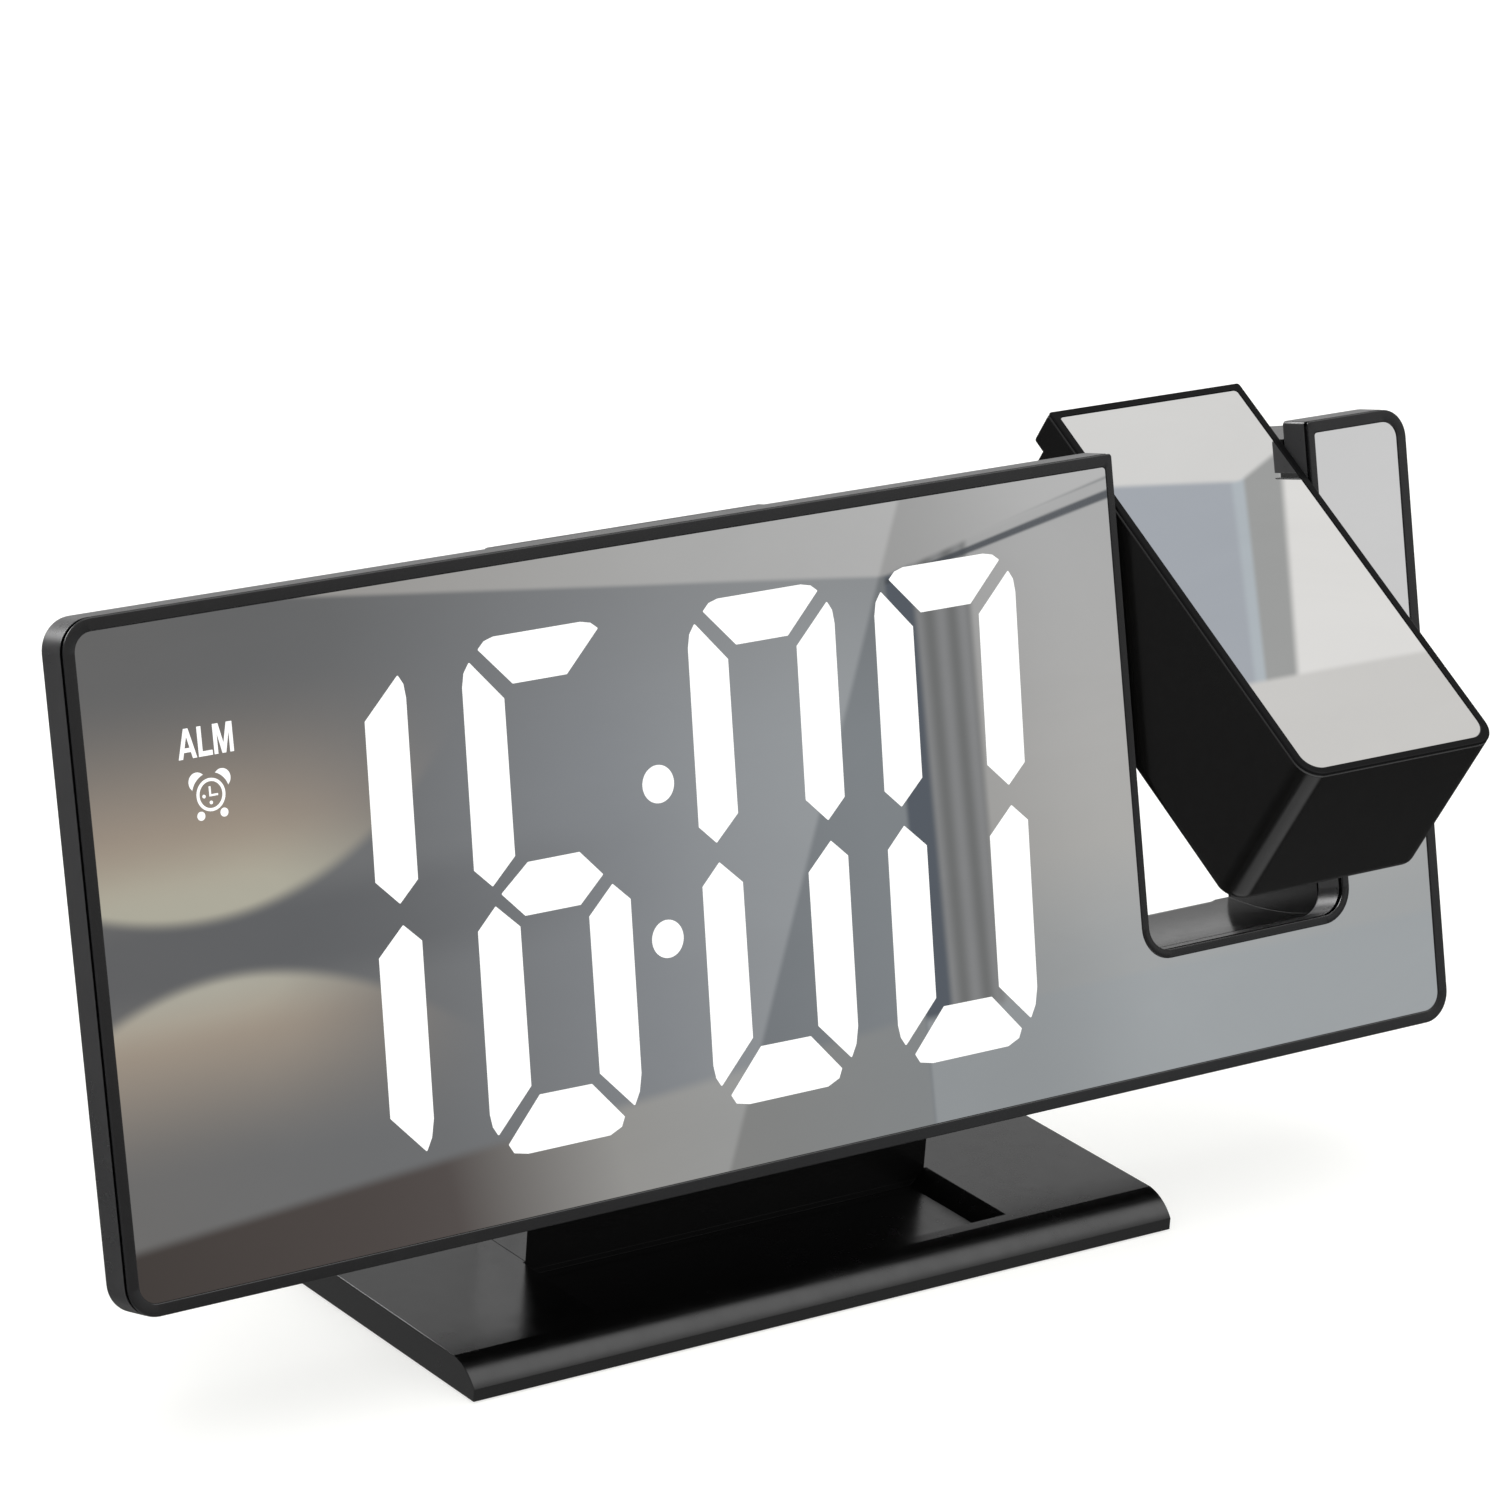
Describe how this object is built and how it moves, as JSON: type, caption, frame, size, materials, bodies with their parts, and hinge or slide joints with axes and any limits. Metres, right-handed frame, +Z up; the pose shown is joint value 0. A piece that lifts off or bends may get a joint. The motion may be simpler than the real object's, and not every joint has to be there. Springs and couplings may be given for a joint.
{
  "type": "projection alarm clock",
  "caption": "Slim mirror-faced digital alarm clock on a low stand, with a projector arm that turns in a notch of the body.",
  "frame": {"origin": "middle of the non-slip pad's underside, on the surface that the clock stands on", "axes": "+Z up, +X along the clock's width to the projector arm's side, the display faces -Y and leans back"},
  "size_m": [0.195, 0.0679, 0.096],
  "materials": {
    "black_gloss": "satin gloss black",
    "black_satin": "fine satin moulded",
    "button_black": "satin",
    "side_band": "satin",
    "frame_charcoal": "satin",
    "mask_black": "matt",
    "mirror_face": "polished",
    "lit_white": "lit diffuser",
    "lens_red": "polished",
    "clear_optic": "polished",
    "lcd_film": "polished",
    "circuit_board": "solder mask",
    "led_body": "moulded",
    "chip_black": "moulded",
    "contact_gold": "plated",
    "port_metal": "stamped",
    "pin_steel": "ground",
    "screw_steel": "plated",
    "steel_plate": "cut plate",
    "cell_steel": "rolled",
    "heat_sink_alu": "extruded",
    "bush_plastic": "natural acetal",
    "wire_sleeve": "soft sleeve",
    "pad_rubber": "matt, fine texture"
  },
  "bodies": {
    "clock_body": {"base_plate": "black_gloss", "base_weight": "steel_plate", "base_pad": "pad_rubber", "stand_neck": "black_gloss", "base_screws": "screw_steel", "neck_screws": "screw_steel", "mid_frame": "side_band", "front_bezel": "frame_charcoal", "mirror_panel": "mirror_face", "light_mask": "mask_black", "digit_windows": "lit_white", "indicator_windows": "lit_white", "display_board": "circuit_board", "segment_leds": "led_body", "main_board": "circuit_board", "power_board": "circuit_board", "board_connector": "contact_gold", "board_chips": "chip_black", "tact_switches": "chip_black", "rear_cover": "black_satin", "cover_screws": "screw_steel", "buzzer": "chip_black", "usb_inlet": "port_metal", "usb_charge_port": "port_metal", "coin_cell": "cell_steel", "cell_holder": "mask_black", "cell_contacts": "contact_gold", "hinge_bush_left": "bush_plastic", "hinge_bush_right": "bush_plastic", "friction_washers": "port_metal"},
    "projector_arm": {"arm_housing": "black_satin", "arm_bezel": "frame_charcoal", "arm_mirror": "mirror_face", "arm_rear_cover": "black_satin", "arm_screws": "screw_steel", "hinge_pin_left": "pin_steel", "hinge_pin_right": "pin_steel", "hinge_clips": "port_metal", "lens_barrel": "mask_black", "condenser_lens": "clear_optic", "lcd_panel": "lcd_film", "projector_board": "circuit_board", "projector_led": "led_body", "heat_sink": "heat_sink_alu", "arm_wires": "wire_sleeve"},
    "focus_dial": {"focus_ring": "button_black"},
    "lens_slide": {"lens_cell": "mask_black", "projector_lens": "lens_red"},
    "snooze_key": {"snooze_button": "button_black"},
    "time_key": {"button_time": "button_black"},
    "alarm_key": {"button_alarm": "button_black"},
    "up_key": {"button_up": "button_black"},
    "down_key": {"button_down": "button_black"},
    "mode_key": {"button_mode": "button_black"},
    "projector_key": {"button_projector": "button_black"},
    "battery_hatch": {"battery_door": "black_satin"}
  },
  "joints": [
    {"name": "arm_turn", "type": "hinge", "parent": "clock_body", "child": "projector_arm", "pos_m": [0.0658, 0.00554, 0.07991], "axis": [-1, 0, 0], "range_deg": [-135.5, 44.5]},
    {"name": "focus_turn", "type": "hinge", "parent": "projector_arm", "child": "focus_dial", "pos_m": [0.0658, 0.0064, 0.07838], "axis": [0, 0.8721, 0.4894], "range_deg": [-45, 45]},
    {"name": "lens_travel", "type": "slide", "parent": "projector_arm", "child": "lens_slide", "axis": [0, 0.8721, 0.4894], "range_m": [-0.0007, 0.0007]},
    {"name": "snooze_press", "type": "slide", "parent": "clock_body", "child": "snooze_key", "axis": [0, -0.2622, -0.965], "range_m": [0, 0.0007], "stiffness_N_per_m": 400, "springref_m": -0.0005},
    {"name": "time_press", "type": "slide", "parent": "clock_body", "child": "time_key", "axis": [0, -0.965, 0.2622], "range_m": [0, 0.0007], "stiffness_N_per_m": 400, "springref_m": -0.0005},
    {"name": "alarm_press", "type": "slide", "parent": "clock_body", "child": "alarm_key", "axis": [0, -0.965, 0.2622], "range_m": [0, 0.0007], "stiffness_N_per_m": 400, "springref_m": -0.0005},
    {"name": "up_press", "type": "slide", "parent": "clock_body", "child": "up_key", "axis": [0, -0.965, 0.2622], "range_m": [0, 0.0007], "stiffness_N_per_m": 400, "springref_m": -0.0005},
    {"name": "down_press", "type": "slide", "parent": "clock_body", "child": "down_key", "axis": [0, -0.965, 0.2622], "range_m": [0, 0.0007], "stiffness_N_per_m": 400, "springref_m": -0.0005},
    {"name": "mode_press", "type": "slide", "parent": "clock_body", "child": "mode_key", "axis": [0, -0.965, 0.2622], "range_m": [0, 0.0007], "stiffness_N_per_m": 400, "springref_m": -0.0005},
    {"name": "projector_press", "type": "slide", "parent": "clock_body", "child": "projector_key", "axis": [0, -0.965, 0.2622], "range_m": [0, 0.0007], "stiffness_N_per_m": 400, "springref_m": -0.0005},
    {"name": "battery_hatch_pull", "type": "slide", "parent": "clock_body", "child": "battery_hatch", "axis": [0, 0.965, -0.2622], "range_m": [0, 0.006]}
  ],
  "couplings": [
    {"joint": "focus_turn", "follows": "lens_travel", "rad_per_m": 1122}
  ]
}
